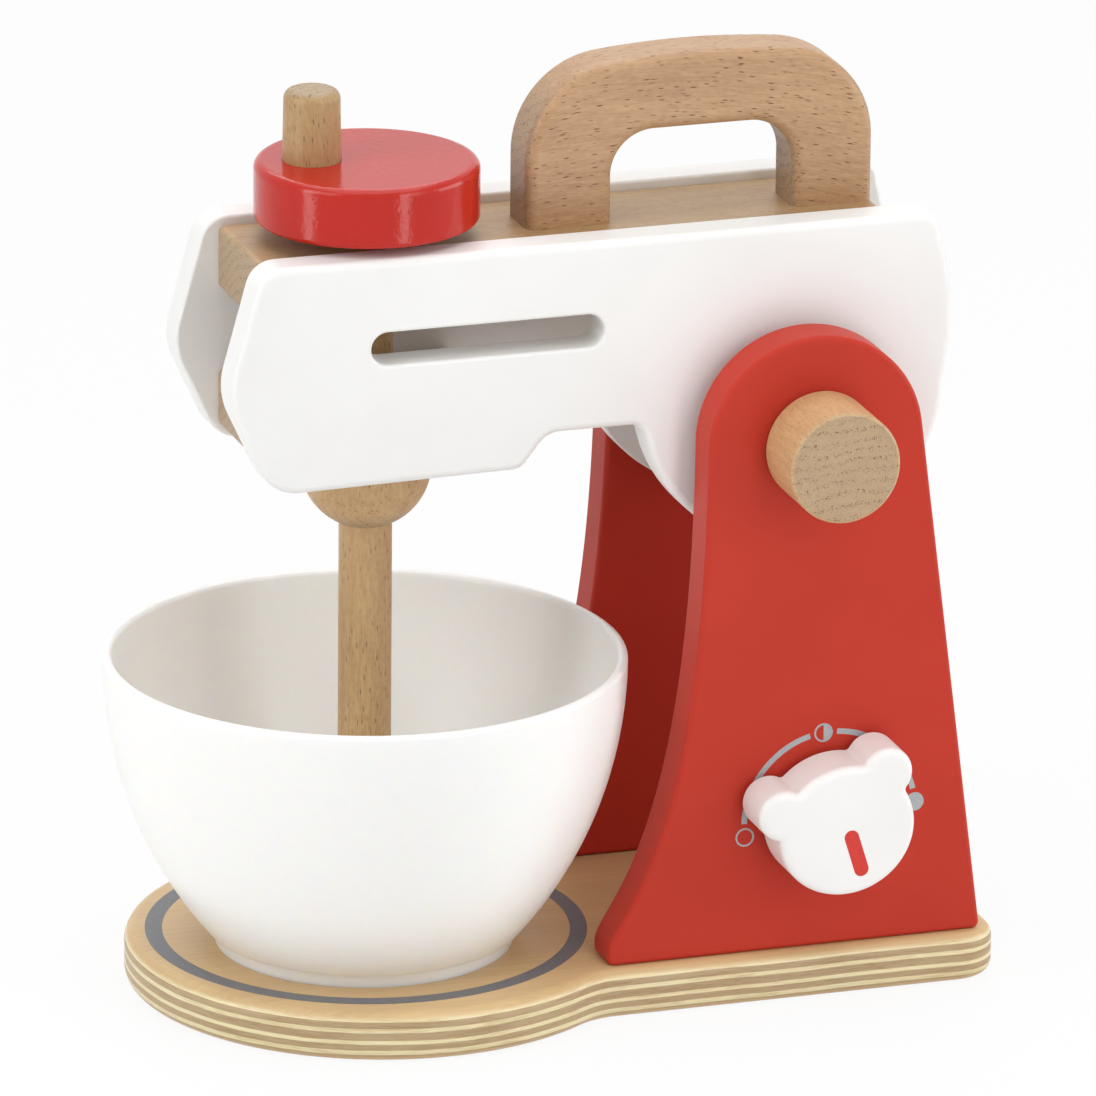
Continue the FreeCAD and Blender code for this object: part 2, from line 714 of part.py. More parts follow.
def bowl():
    """Turned bowl: foot ring with a shallow recess, flank of one arc and a rounded rim."""
    bottom = base_thickness
    rim_z = bottom + bowl_height
    shoulder_z = bottom + bowl_foot_height
    flank_centre = side(bowl_rim_radius - bowl_flank_radius, rim_z)
    inner_flank = bowl_flank_radius - bowl_wall
    floor_corner_z = bowl_floor_z + bowl_corner_radius
    floor_corner_x = flank_centre.x + math.sqrt(
        (inner_flank - bowl_corner_radius) ** 2 - (rim_z - floor_corner_z) ** 2)
    corner_centre = side(floor_corner_x, floor_corner_z)
    outwards = (corner_centre - flank_centre).normalize()
    corner_start = corner_centre + outwards * bowl_corner_radius
    corner_middle = corner_centre + (outwards - Z).normalize() * bowl_corner_radius
    half_down = math.degrees(math.asin(bowl_height / bowl_flank_radius)) / 2
    foot_inner = bowl_foot_radius - bowl_foot_wall
    recess_z = bottom + bowl_foot_recess
    rim_middle = side(bowl_rim_radius - bowl_wall / 2, rim_z + bowl_wall / 2)
    profile = [
        line(side(0, recess_z), side(foot_inner, recess_z)),
        line(side(foot_inner, recess_z), side(foot_inner, bottom)),
        line(side(foot_inner, bottom), side(bowl_foot_radius, bottom)),
        line(side(bowl_foot_radius, bottom), side(bowl_foot_radius, shoulder_z)),
        line(side(bowl_foot_radius, shoulder_z), side(flank_radius_at(bowl_foot_height), shoulder_z)),
        arc(side(flank_radius_at(bowl_foot_height), shoulder_z),
            on_circle(flank_centre, bowl_flank_radius, -half_down), side(bowl_rim_radius, rim_z)),
        arc(side(bowl_rim_radius, rim_z), rim_middle, side(bowl_rim_radius - bowl_wall, rim_z)),
        arc(side(bowl_rim_radius - bowl_wall, rim_z),
            on_circle(flank_centre, inner_flank, -half_down), corner_start),
        arc(corner_start, corner_middle, side(floor_corner_x, bowl_floor_z)),
        line(side(floor_corner_x, bowl_floor_z), side(0, bowl_floor_z)),
        line(side(0, bowl_floor_z), side(0, recess_z)),
    ]
    return turned(profile, bowl_x, bowl_y)


# ---- Dial ----
def dial_knob():
    """Oval knob with two round ears, turned on its screw."""
    oval_centre = FreeCAD.Vector(0, dial_oval_rise, 0)
    oval = Part.Ellipse(oval_centre, dial_half_length, dial_half_height).toShape()
    head = Part.Face(Part.Wire([oval])).extrude(Z * dial_thickness)
    for sign in (-1, 1):
        ear_centre = FreeCAD.Vector(sign * dial_ear_x, dial_ear_z, 0)
        head = head.fuse(Part.makeCylinder(dial_ear_radius, dial_thickness, ear_centre))
    head = head.removeSplitter()
    head = head.makeFillet(dial_neck_radius, corner_edges(head, Z))
    head = head.makeFillet(dial_front_rounding, edges_at(head, Z, dial_thickness))
    head = head.makeFillet(dial_back_rounding, edges_at(head, Z, 0))
    head = head.cut(Part.makeCylinder(dial_screw_radius + glued_fit, dial_screw_in_knob))
    # laid on its side the head looks along -Y, with the ears up
    head.rotate(FreeCAD.Vector(), X, 90)
    head.rotate(FreeCAD.Vector(), Y, -dial_turn_angle)
    head.translate(side(dial_x, dial_z, dial_back_y))
    return head


def dial_washer():
    """Washer between the dial knob and the upright."""
    start = side(dial_x, dial_z, dial_back_y)
    end = start + Y * dial_washer_thickness
    return rod(dial_washer_radius, start, end).cut(rod(dial_screw_radius + glued_fit, start, end))


def dial_screw():
    """Screw that holds the dial knob, put in from the inner face of the near upright."""
    head_y = face_gap - panel_inner_y
    tip = side(dial_x, dial_z, dial_back_y - dial_screw_in_knob + glued_fit)
    head_face = side(dial_x, dial_z, head_y)
    head = rod(dial_screw_head_radius, head_face, head_face + Y * dial_screw_head_height)
    head = head.makeFillet(dowel_rounding, edges_at(head, Y, head_y + dial_screw_head_height))
    return head.fuse(rod(dial_screw_radius, tip, head_face)).removeSplitter()


os.makedirs("parts", exist_ok=True)
save("base_board", base_board())
save("upright_near", upright(-1))
save("upright_far", upright(1))
save("base_screws", *base_screws())
save("stop_dowel", stop_dowel())
save("pivot_spacer_near", pivot_spacer(-1))
save("pivot_spacer_far", pivot_spacer(1))
save("arm_plate_near", arm_plate(-1))
save("arm_plate_far", arm_plate(1))
save("arm_top_bar", arm_top_bar())
save("arm_nose_block", arm_nose_block())
save("arm_dowels", *arm_dowels(0, glued_fit))
save("carry_handle", carry_handle())
save("handle_screws", *handle_screws())
save("pivot_axle", pivot_axle())
save("pivot_knob_near", pivot_knob(-1))
save("pivot_knob_far", pivot_knob(1))
save("crank_disc", crank_disc())
save("crank_peg", crank_peg())
save("crank_washer", crank_washer())
save("beater_rod", beater_rod())
save("beater_hub", beater_hub())
for pin_name, (pin_along, pin_z) in zip(("lower", "upper"), beater_pin_places()):
    save("beater_pin_" + pin_name, beater_pin(pin_along, pin_z))
save("bowl", bowl())
save("dial_knob", dial_knob())
save("dial_washer", dial_washer())
save("dial_screw", dial_screw())
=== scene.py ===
import math

import bmesh
import bpy
import numpy as np
from bpy.props import FloatProperty, FloatVectorProperty, PointerProperty
from mathutils import Matrix, Vector


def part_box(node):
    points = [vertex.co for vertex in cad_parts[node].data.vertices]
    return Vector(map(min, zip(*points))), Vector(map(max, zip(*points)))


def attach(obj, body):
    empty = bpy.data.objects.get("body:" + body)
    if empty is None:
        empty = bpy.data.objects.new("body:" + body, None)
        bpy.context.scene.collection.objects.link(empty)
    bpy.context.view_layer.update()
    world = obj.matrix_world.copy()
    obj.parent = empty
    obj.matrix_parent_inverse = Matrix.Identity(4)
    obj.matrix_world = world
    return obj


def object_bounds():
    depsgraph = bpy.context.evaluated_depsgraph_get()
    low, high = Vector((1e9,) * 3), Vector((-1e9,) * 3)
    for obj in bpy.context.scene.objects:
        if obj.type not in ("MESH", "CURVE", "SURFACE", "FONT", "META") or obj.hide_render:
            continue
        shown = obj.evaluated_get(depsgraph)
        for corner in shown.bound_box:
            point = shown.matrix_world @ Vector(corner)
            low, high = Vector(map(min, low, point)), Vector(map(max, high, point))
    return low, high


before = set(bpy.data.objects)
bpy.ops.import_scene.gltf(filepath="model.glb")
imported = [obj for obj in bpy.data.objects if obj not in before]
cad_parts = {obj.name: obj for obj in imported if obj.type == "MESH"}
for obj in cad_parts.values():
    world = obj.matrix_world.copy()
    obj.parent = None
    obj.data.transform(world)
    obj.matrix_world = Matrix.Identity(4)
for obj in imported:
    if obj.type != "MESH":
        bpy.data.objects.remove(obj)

bl_info = {
    "name": "Toy Stand Mixer",
    "version": (1, 0, 0),
    "blender": (4, 5, 0),
    "location": "View3D > Sidebar > Toy Mixer",
    "description": "Finishes, printed marks and small turned parts of a wooden toy stand mixer",
    "category": "Object",
}

CAD_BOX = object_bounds()
MM = 0.001
TURN = 2 * math.pi
FRAME_PIXELS = 1096                 # width and height of the picture
SENSOR = 36.0                       # width of the camera's sensor in millimetres
WHITE = (1.0, 1.0, 1.0, 1.0)
RIGHT = np.array([1.0, 0.0, 0.0])
UP = np.array([0.0, 0.0, 1.0])
OUT = np.array([0.0, -1.0, 0.0])    # away from the faces on the near side

# Turns that bring the grain of a piece along the X axis of its pattern
AXES = {"X": (0.0, 0.0, 0.0), "Y": (0.0, 0.0, -math.pi / 2), "Z": (0.0, math.pi / 2, 0.0)}

# Patterns of the beech, in cells per millimetre along, across and through the grain
BEECH_DRIFT = (0.012, 0.05, 0.05)
BEECH_FIBRE = (0.20, 2.6, 2.6)
BEECH_MOTTLE = (0.55, 1.1, 1.1)
BEECH_CLOUD = (0.05, 0.16, 0.16)
BEECH_PORES = (0.5, 3.4, 3.4)
BEND_START = 60.0                   # millimetres along the grain to where it runs level
RING_DRIFT = 3.0                    # growth rings by which the drift pattern can move one
LATE_WOOD = (0.35, 0.95)            # part of a ring over which it darkens
RING_END = (0.95, 1.0)              # part over which it turns light again
FLECK_EDGE = (0.12, 0.27)           # distances from a cell's middle between which a fleck fades
END_GRAIN = (0.55, 0.9)             # how far the surface has to face along the grain
OPEN_PORES = (0.56, 0.68)           # levels of the pore pattern between which a pore opens

# Patterns of the plywood, in cells per millimetre along X, Y and Z
PLY_WAVE = (0.03, 0.03, 0.0)
PLY_STREAK = (0.22, 0.22, 4.0)
PLY_PATCH = (0.05, 0.05, 0.5)
PLY_SPECK = (1.6, 1.6, 1.6)
PLY_GRAIN = (0.035, 1.1, 1.1)
PLY_CLOUD = (0.02, 0.06, 0.06)
PLY_TOPS = (0.5, 1.8, 2.9, 4.3, 5.2, 7.0, 8.0, 9.5)    # tops of the plies in millimetres
PLY_BLUR = 0.07                     # half the width of the line between two plies
FLAT_FACE = (0.35, 0.75)            # how level the surface has to be for the face veneer

# Patterns of the other finishes, in cells per millimetre on all axes
PAINT_CLOUD = 0.03
PLASTIC_CLOUD = 0.02
FINE_PEEL = 0.9
INK_SPECK = 2.2
ZINC_SPECK = 6.0

# Pairs of tints: a pattern goes from the first to the second, and the colour is multiplied by it
VENEER_TINTS = ((0.86, 0.82, 0.76), (1.1, 1.1, 1.12))
PAINT_TINTS = ((0.965, 0.96, 0.955), WHITE)
PLASTIC_TINTS = ((0.985, 0.98, 0.975), WHITE)
INK_TINTS = ((1.06, 1.06, 1.06), (0.92, 0.92, 0.92))
ZINC_TINTS = ((0.8, 0.8, 0.8), WHITE)

# Numbers of points along the printed shapes
RING_POINTS = 256
ARC_POINTS = 72
CIRCLE_POINTS = 97
DISC_POINTS = 96
STADIUM_POINTS = 129
TOP_SHARE = 0.999                   # share of a print's outline that its raised top reaches
WELD_DISTANCE = 1e-7                # metres between points that become one

MARK_GAP = 1.0 * MM                 # between a round mark and the arc beside it
POINTER_TOP = (97.0 * MM, 41.9 * MM)        # ends of the pointer's spine, across and up
POINTER_FOOT = (99.4 * MM, 34.2 * MM)

# Lamps: azimuth and elevation in degrees, distance and size in metres, setting, part of its power
LAMPS = {
    "key_strip": (15.0, 14.0, 0.36, (0.06, 0.4), "key", 1.0),
    "side_strip": (-78.0, 14.0, 0.36, (0.065, 0.4), "side", 1.0),
    "right_lamp": (33.0, 24.0, 1.6, (0.5, 1.1), "soft", 0.07),
    "low_right_lamp": (75.0, 12.0, 1.2, (0.7, 0.6), "soft", 0.13),
    "left_lamp": (-70.0, 30.0, 1.6, (1.0, 1.0), "soft", 0.19),
    "back_lamp": (170.0, 50.0, 1.6, (1.0, 1.0), "soft", 0.19),
    "top_lamp": (0.0, 88.0, 1.4, (1.6, 1.6), "soft", 0.42),
}

# Camera: angles in degrees, place along its own axes in millimetres, the rest in pixels
CAMERA_AZIMUTH = -18.233
CAMERA_ELEVATION = 18.465
CAMERA_ROLL = 0.511
CAMERA_PLACE = (35.978, 96.472, 2837.27)
CAMERA_FOCUS = 12536.84
CAMERA_CENTRE = (522.18, 548.24)


def node_box(name):
    """Lowest and highest corner of a CAD node, as arrays."""
    low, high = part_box(name)
    return np.array(low), np.array(high)


# ---- Settings that a user would change ----
def colour(name, description, default):
    return FloatVectorProperty(name=name, description=description, default=default,
                               subtype="COLOR", size=3, min=0.0, max=1.0)


def length(name, description, default):
    return FloatProperty(name=name, description=description, default=default,
                         unit="LENGTH", min=0.0, precision=5)


def angle(name, description, degrees):
    return FloatProperty(name=name, description=description, default=math.radians(degrees),
                         subtype="ANGLE")


def power(name, description, watts):
    return FloatProperty(name=name, description=description, default=watts, unit="POWER", min=0.0)


class BeechSettings(bpy.types.PropertyGroup):
    light: colour("Light wood", "Early wood between the rings", (0.66, 0.415, 0.235))
    dark: colour("Dark wood", "Late wood of the rings", (0.50, 0.285, 0.150))
    fleck: colour("Flecks", "Short ray flecks along the grain", (0.14, 0.06, 0.03))
    end: colour("End grain", "Cut across the grain", (0.40, 0.295, 0.185))
    fleck_length: length("Fleck spacing", "Distance between flecks along the grain", 3.7 * MM)
    fleck_width: length("Fleck row spacing", "Distance between flecks across the grain", 0.72 * MM)
    ring_width: length("Ring width", "Distance between growth rings", 2.6 * MM)


class PlywoodSettings(bpy.types.PropertyGroup):
    face: colour("Face veneer", "Top and bottom face of the base board", (0.66, 0.465, 0.235))
    cream: colour("Long plies", "Plies that show their long grain at the edge", (0.87, 0.77, 0.48))
    brown: colour("Cross plies", "Plies that show their end grain at the edge", (0.50, 0.365, 0.205))
    worn: colour("Worn edge", "Tint of the worn spots of the edge", (0.78, 0.70, 0.62))


class PaintSettings(bpy.types.PropertyGroup):
    red: colour("Upright red", "Satin paint of the uprights", (0.53, 0.043, 0.025))
    gloss_red: colour("Disc red", "Gloss paint of the crank disc", (0.51, 0.013, 0.005))
    white: colour("White", "Satin paint of the arm plates and the dial", (0.89, 0.89, 0.875))


class PrintSettings(bpy.types.PropertyGroup):
    ring: colour("Base ring", "Ink of the ring below the bowl", (0.155, 0.16, 0.175))
    scale: colour("Dial scale", "Ink of the marks round the dial", (0.40, 0.42, 0.44))
    pointer: colour("Pointer", "Ink of the mark on the dial", (0.63, 0.033, 0.020))
    thickness: length("Ink thickness", "Height of a print over its surface", 0.04 * MM)
    ring_outer: length("Ring outer radius", "Outer radius of the ring on the base", 50.0 * MM)
    ring_inner: length("Ring inner radius", "Inner radius of the ring on the base", 46.1 * MM)
    ring_centre: length("Ring centre", "Centre of the ring towards the uprights", 0.6 * MM)
    empty_mark: angle("Empty mark", "Direction of the open circle from the dial", 188.0)
    half_mark: angle("Half mark", "Direction of the half filled circle", 95.0)
    full_mark: angle("Full mark", "Direction of the filled circle", 4.5)
    scale_radius: length("Scale radius", "Radius of the arc round the dial", 20.3 * MM)
    scale_stroke: length("Scale stroke", "Width of the arc round the dial", 1.3 * MM)
    mark_radius: length("Mark radius", "Radius of the three round marks", 2.2 * MM)
    mark_line: length("Mark line", "Width of the outlines of the marks", 0.42 * MM)
    pointer_width: length("Pointer width", "Width of the mark on the dial", 3.4 * MM)


class BowlSettings(bpy.types.PropertyGroup):
    body: colour("Bowl", "Moulded white of the bowl", (0.935, 0.925, 0.905))


class ScrewSettings(bpy.types.PropertyGroup):
    zinc: colour("Zinc", "Plating of the screws", (0.62, 0.61, 0.58))


class StageSettings(bpy.types.PropertyGroup):
    floor: colour("Floor", "Plain floor", (0.86, 0.86, 0.86))
    floor_size: length("Floor size", "Length of the sides of the floor", 16.0)
    glow: FloatProperty(name="Backdrop glow", description="Share of the floor that shows as even white",
                        default=0.90, min=0.0, max=1.0, subtype="FACTOR")
    sky: FloatProperty(name="Sky", description="Strength of the even light", default=0.28, min=0.0,
                       max=1.0, subtype="FACTOR")
    key: power("Key light", "Power of the upright strip on the right", 0.27)
    side: power("Side light", "Power of the upright strip on the left", 0.26)
    soft: power("Soft light", "Power of the large lamps together", 30.0)


# ---- Shader maths ----
SOCKETS = {"ior": "IOR", "base_color": "Base Color", "specular": "Specular IOR Level",
           "subsurface": "Subsurface Weight"}


class Term:
    """A number or a vector in a material: Python's operators on it add Math nodes."""

    def __init__(self, nodes, socket):
        self.nodes = nodes
        self.socket = socket

    def maths(self, operation, *others, clamp=False):
        settings = {"operation": operation, "use_clamp": clamp}
        return self.nodes.node("ShaderNodeMath", settings, dict(enumerate((self, *others))))

    def __add__(self, other):
        return self.maths("ADD", other)

    def __sub__(self, other):
        return self.maths("SUBTRACT", other)

    def __mul__(self, other):
        return self.maths("MULTIPLY", other)

    def __truediv__(self, other):
        return self.maths("DIVIDE", other)

    def __pow__(self, other):
        return self.maths("POWER", other)

    def __neg__(self):
        return self * -1.0

    __radd__ = __add__
    __rmul__ = __mul__

    def __rsub__(self, other):
        return -self + other

    def clamped(self):
        return self.maths("ADD", 0.0, clamp=True)

    def swing(self, width):
        """A noise's distance from its middle value of 0.5, times the width."""
        return (self - 0.5) * width

    def step(self, start, end):
        """0 up to start, 1 from end on, and a smooth S between them."""
        inputs = {0: self, 1: start, 2: end, 3: 0.0, 4: 1.0}
        return self.nodes.node("ShaderNodeMapRange", {"interpolation_type": "SMOOTHSTEP"}, inputs)


class Nodes:
    """A node tree: node() adds any node to it."""

    def __init__(self, tree):
        self.tree = tree
        tree.nodes.clear()

    def connect(self, socket, value):
        if isinstance(value, Term):
            self.tree.links.new(value.socket, socket)
        else:
            socket.default_value = value

    def node(self, kind, settings=None, inputs=None, output=0):
        """Add a node: settings are its own properties or a ramp's stops, inputs its sockets."""
        made = self.tree.nodes.new(kind)
        for name, value in (settings or {}).items():
            if name == "stops":
                elements = made.color_ramp.elements
                for _ in range(len(value) - len(elements)):
                    elements.new(1.0)
                for element, (place, tone) in zip(elements, value):
                    element.position = place
                    element.color = tone
            else:
                setattr(made, name, value)
        for name, value in (inputs or {}).items():
            self.connect(made.inputs[name], value)
        return Term(self, made.outputs[output] if len(made.outputs) else None)

    def backdrop_rays(self):
        """1 for the rays that show the backdrop itself: straight, mirrored or through glass."""
        rays = self.node("ShaderNodeLightPath").socket.node.outputs
        straight, mirrored, through = (Term(self, rays[name]) for name in
                                       ("Is Camera Ray", "Is Glossy Ray", "Is Transmission Ray"))
        return straight.maths("MAXIMUM", mirrored).maths("MAXIMUM", through)


class Finish(Nodes):
    """A material with one Principled shader."""

    def __init__(self, name, **sockets):
        self.material = bpy.data.materials.new(name)
        self.material.use_nodes = True
        super().__init__(self.material.node_tree)
        self.shader = self.node("ShaderNodeBsdfPrincipled")
        self.output = self.tree.nodes.new("ShaderNodeOutputMaterial")
        self.show(self.shader)
        for word, value in sockets.items():
            self.set(SOCKETS.get(word, word.title()), value)

    def show(self, shader):
        self.connect(self.output.inputs["Surface"], shader)

    def set(self, name, value):
        self.connect(self.shader.socket.node.inputs[name], value)

    def place(self, turn=(0.0, 0.0, 0.0), shift=(0.0, 0.0, 0.0)):
        """Object coordinates in millimetres, turned and then shifted."""
        coordinates = self.node("ShaderNodeTexCoord", output="Object")
        inputs = {"Vector": coordinates, "Location": shift, "Rotation": turn,
                  "Scale": (1 / MM,) * 3}
        return self.node("ShaderNodeMapping", {"vector_type": "POINT"}, inputs)

    def facing(self, turn=(0.0, 0.0, 0.0)):
        """The surface's own direction, turned as place() turns its points."""
        normal = self.node("ShaderNodeTexCoord", output="Normal")
        return self.node("ShaderNodeMapping", {"vector_type": "NORMAL"},
                         {"Vector": normal, "Rotation": turn})

    def parts(self, vector):
        split = self.node("ShaderNodeSeparateXYZ", inputs={0: vector})
        outputs = split.socket.node.outputs
        return [Term(self, outputs[name]) for name in "XYZ"]

    def joined(self, x, y, z):
        return self.node("ShaderNodeCombineXYZ", inputs={"X": x, "Y": y, "Z": z})

    def stretched(self, vector, factors):
        """The vector times three factors, one for each axis."""
        return self.node("ShaderNodeVectorMath", {"operation": "MULTIPLY"}, {0: vector, 1: factors})

    def noise(self, vector, detail=2.0, roughness=0.5):
        inputs = {"Vector": vector, "Scale": 1.0, "Detail": detail, "Roughness": roughness}
        return self.node("ShaderNodeTexNoise", inputs=inputs)

    def even_noise(self, vector, factor, detail=2.0):
        """Noise with the same number of cells per millimetre on all axes."""
        return self.noise(self.stretched(vector, (factor,) * 3), detail)

    def mix(self, share, first, second):
        """Colour that goes from the first to the second with the share."""
        inputs = {0: share, 6: shade(first), 7: shade(second)}
        return self.node("ShaderNodeMix", {"data_type": "RGBA"}, inputs, 2)

    def times(self, first, second):
        """The first colour multiplied by the second."""
        settings = {"data_type": "RGBA", "blend_type": "MULTIPLY"}
        return self.node("ShaderNodeMix", settings, {0: 1.0, 6: shade(first), 7: shade(second)}, 2)

    def tinted(self, body, share, tints):
        """The body's colour multiplied by a tint from the first to the second with the share."""
        return self.times(body, self.mix(share, *tints))

    def bump(self, height, depth):
        """Relief of a height from 0 to 1 that stands for a depth in metres."""
        inputs = {"Strength": 1.0, "Distance": depth, "Height": height}
        self.set("Normal", self.node("ShaderNodeBump", inputs=inputs))


def shade(value):
    """A colour as a socket takes it: a Term stays as it is, and three numbers get a fourth."""
    return value if isinstance(value, Term) else (*tuple(value)[:3], 1.0)


# ---- Finishes ----
def beech(name, grain, seed, tilt=(0.0, 0.0, 0.0), tone_and_shade=(1.0, 1.0, 1.0), flecks=0.75, bend=0.0):
    """Oiled beech: rings round a pith beside the piece, fibres, pores and ray flecks. The seed picks
    the part of the log. The grain curves by the square of the way along it times the bend. The share
    of dark wood is a weighted sum of late wood, fibres, mottle and clouds round its middle value. The
    colour is then multiplied by one factor for the whole piece: the wood's own tone and painted light
    and shade."""
    wood = bpy.context.scene.mixer_beech
    finish = Finish(name, roughness=0.42, ior=1.45)
    turn = tuple(a + b for a, b in zip(AXES[grain], tilt))
    start = 37.0 * seed
    straight = finish.place(turn, (start, 46.0 + 9.0 * seed, -58.0 + 13.0 * seed))
    along, across, deep = finish.parts(straight)
    way = along - start - BEND_START
    place = finish.joined(along, across, deep + way * way * bend)

    drift = finish.noise(finish.stretched(place, BEECH_DRIFT))
    reach = (across * across + deep * deep) ** 0.5
    phase = (reach * (MM / wood.ring_width) + drift * RING_DRIFT).maths("FRACT")
    late = phase.step(*LATE_WOOD) * (1.0 - phase.step(*RING_END))
    fibre = finish.noise(finish.stretched(place, BEECH_FIBRE), 4.0, 0.65)
    mottle = finish.noise(finish.stretched(place, BEECH_MOTTLE))
    cloud = finish.noise(finish.stretched(place, BEECH_CLOUD))

    spacing = (MM / wood.fleck_length, MM / wood.fleck_width, MM / wood.fleck_width)
    inputs = {"Vector": finish.stretched(place, spacing), "Scale": 1.0, "Randomness": 1.0}
    cell = finish.node("ShaderNodeTexVoronoi", inputs=inputs)
    chance = finish.parts(Term(finish, cell.socket.node.outputs["Color"]))[0]
    fleck = (1.0 - cell.step(*FLECK_EDGE)) * (0.3 + chance * 0.7)
    end = finish.parts(finish.facing(turn))[0].maths("ABSOLUTE").step(*END_GRAIN)
    pores = finish.noise(finish.stretched(place, BEECH_PORES), 1.0).step(*OPEN_PORES)
    open_pores = pores * end * (0.25 + late * 0.9)
    dark = (fleck * flecks + open_pores * 0.95).clamped()

    share = late * 0.14 + fibre.swing(2.0) + mottle.swing(1.0) + cloud.swing(1.1) + 0.45
    # Painted light and shade: one factor darkens or lightens the whole piece, over the wood's own tone
    body = finish.times(finish.mix(share.clamped(), wood.light, wood.dark), tone_and_shade)
    body = finish.mix(end * 0.7, body, wood.end)
    finish.set("Base Color", finish.mix(dark, body, wood.fleck))
    finish.set("Roughness", 0.40 + dark * 0.25 + fibre.swing(0.12))
    finish.bump(1.0 - dark * 0.8 + fibre * 0.4, 0.06 * MM)
    return finish.material


def birch_plywood(name):
    """Lacquered plywood: a face veneer, and plies that alternate up the rounded edge. The worn share
    of the edge and the pale share of the veneer are weighted sums round their middle values."""
    wood = bpy.context.scene.mixer_plywood
    finish = Finish(name, ior=1.45)
    low, high = node_box("base_board")
    thickness = (high[2] - low[2]) / MM
    place = finish.place()
    height = finish.parts(place)[2]
    level = (height + finish.noise(finish.stretched(place, PLY_WAVE)).swing(1.0)) / thickness
    shades = ["cream", "brown"] * 4 + ["cream"]
    stops = [(0.0, shade(wood.cream))]
    for top, below, above in zip(PLY_TOPS, shades, shades[1:]):
        stops.append(((top - PLY_BLUR) / thickness, shade(getattr(wood, below))))
        stops.append(((top + PLY_BLUR) / thickness, shade(getattr(wood, above))))
    plies = finish.node("ShaderNodeValToRGB", {"stops": stops}, {0: level})
    streak = finish.noise(finish.stretched(place, PLY_STREAK), 4.0, 0.65)
    patch = finish.noise(finish.stretched(place, PLY_PATCH))
    worn = (streak.swing(3.4) + patch.swing(2.2) + 0.3).clamped()
    edge = finish.tinted(plies, worn, (WHITE, wood.worn))

    grain = finish.noise(finish.stretched(place, PLY_GRAIN), 4.0, 0.6)
    cloud = finish.noise(finish.stretched(place, PLY_CLOUD))
    pale = (grain.swing(1.2) + cloud.swing(1.2) + 0.5).clamped()
    face = finish.tinted(wood.face, pale, VENEER_TINTS)
    flat = finish.parts(finish.facing())[2].maths("ABSOLUTE").step(*FLAT_FACE)
    speck = finish.noise(finish.stretched(place, PLY_SPECK))
    finish.set("Base Color", finish.mix(flat, edge, face))
    finish.set("Roughness", 0.36 + speck.swing(0.15))
    finish.bump((streak + grain) * 0.5, 0.03 * MM)
    return finish.material


def paint(name, body, roughness, peel, specular=0.5):
    """Sprayed paint: an even colour, faint clouds and orange peel of a depth in millimetres."""
    finish = Finish(name, ior=1.5, specular=specular)
    place = finish.place()
    cloud = finish.even_noise(place, PAINT_CLOUD)
    fine = finish.even_noise(place, FINE_PEEL, 3.0)
    finish.set("Base Color", finish.tinted(body, cloud.step(0.3, 0.7), PAINT_TINTS))
    finish.set("Roughness", roughness + fine.swing(0.06))
    finish.bump(fine, peel * MM)
    return finish.material


def moulded(name, body):
    """Moulded plastic with a soft sheen, which a little light shines through."""
    finish = Finish(name, ior=1.49, subsurface=0.6)
    finish.set("Subsurface Radius", (1.0, 0.72, 0.5))
    finish.set("Subsurface Scale", 4.0 * MM)
    place = finish.place()
    fine = finish.even_noise(place, FINE_PEEL)
    broad = finish.even_noise(place, PLASTIC_CLOUD, 1.0)
    finish.set("Base Color", finish.tinted(body, broad, PLASTIC_TINTS))
    finish.set("Roughness", 0.32 + fine.swing(0.05))
    finish.bump(fine, 0.004 * MM)
    return finish.material


def ink(name, body):
    """Screen print: a flat colour with the faint mottling of ink on a sanded face."""
    finish = Finish(name, ior=1.45)
    speck = finish.even_noise(finish.place(), INK_SPECK, 3.0)
    finish.set("Base Color", finish.tinted(body, speck.step(0.35, 0.7), INK_TINTS))
    finish.set("Roughness", 0.45 + speck.swing(0.2))
    finish.bump(speck, 0.01 * MM)
    return finish.material


def zinc(name, body):
    """Zinc plated steel with fine specks."""
    finish = Finish(name, metallic=1.0)
    speck = finish.even_noise(finish.place(), ZINC_SPECK)
    finish.set("Base Color", finish.tinted(body, speck, ZINC_TINTS))
    finish.set("Roughness", 0.3 + speck * 0.12)
    return finish.material


def dress(names, material):
    """Give CAD nodes a material in all of their slots."""
    for name in names:
        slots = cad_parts[name].material_slots
        if not slots:
            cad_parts[name].data.materials.append(material)
        for slot in slots:
            slot.material = material


# ---- Surfaces ----
def quads(rows, columns, wrap_rows, wrap_columns):
    """Cell (i, j) of the grid joins its points (i, j), (i+1, j), (i+1, j+1) and (i, j+1)."""
    i = np.arange(rows if wrap_rows else rows - 1)[:, None]
    j = np.arange(columns if wrap_columns else columns - 1)[None, :]
    below = (i + 1) % rows
    beside = (j + 1) % columns
    corners = [i * columns + j, below * columns + j, below * columns + beside, i * columns + beside]
    return np.stack(np.broadcast_arrays(*corners), axis=-1).reshape(-1, 4)


def printed_piece(name, sheets, body, material):
    """Flat-shaded mesh of grids (points, wrap_rows, wrap_columns), welded, facing outwards."""
    points = []
    faces = []
    for grid, wrap_rows, wrap_columns in sheets:
        faces.append(quads(grid.shape[0], grid.shape[1], wrap_rows, wrap_columns)
                     + sum(len(p) for p in points))
        points.append(grid.reshape(-1, 3))
    mesh = bpy.data.meshes.new(name)
    mesh.from_pydata(np.concatenate(points).tolist(), [], np.concatenate(faces).tolist())
    weld = bmesh.new()
    weld.from_mesh(mesh)
    bmesh.ops.remove_doubles(weld, verts=weld.verts, dist=WELD_DISTANCE)
    bmesh.ops.recalc_face_normals(weld, faces=weld.faces)
    weld.to_mesh(mesh)
    weld.free()
    mesh.polygons.foreach_set("use_smooth", [False] * len(mesh.polygons))
    mesh.materials.append(material)
    made = bpy.data.objects.new(name, mesh)
    bpy.context.scene.collection.objects.link(made)
    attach(made, body)


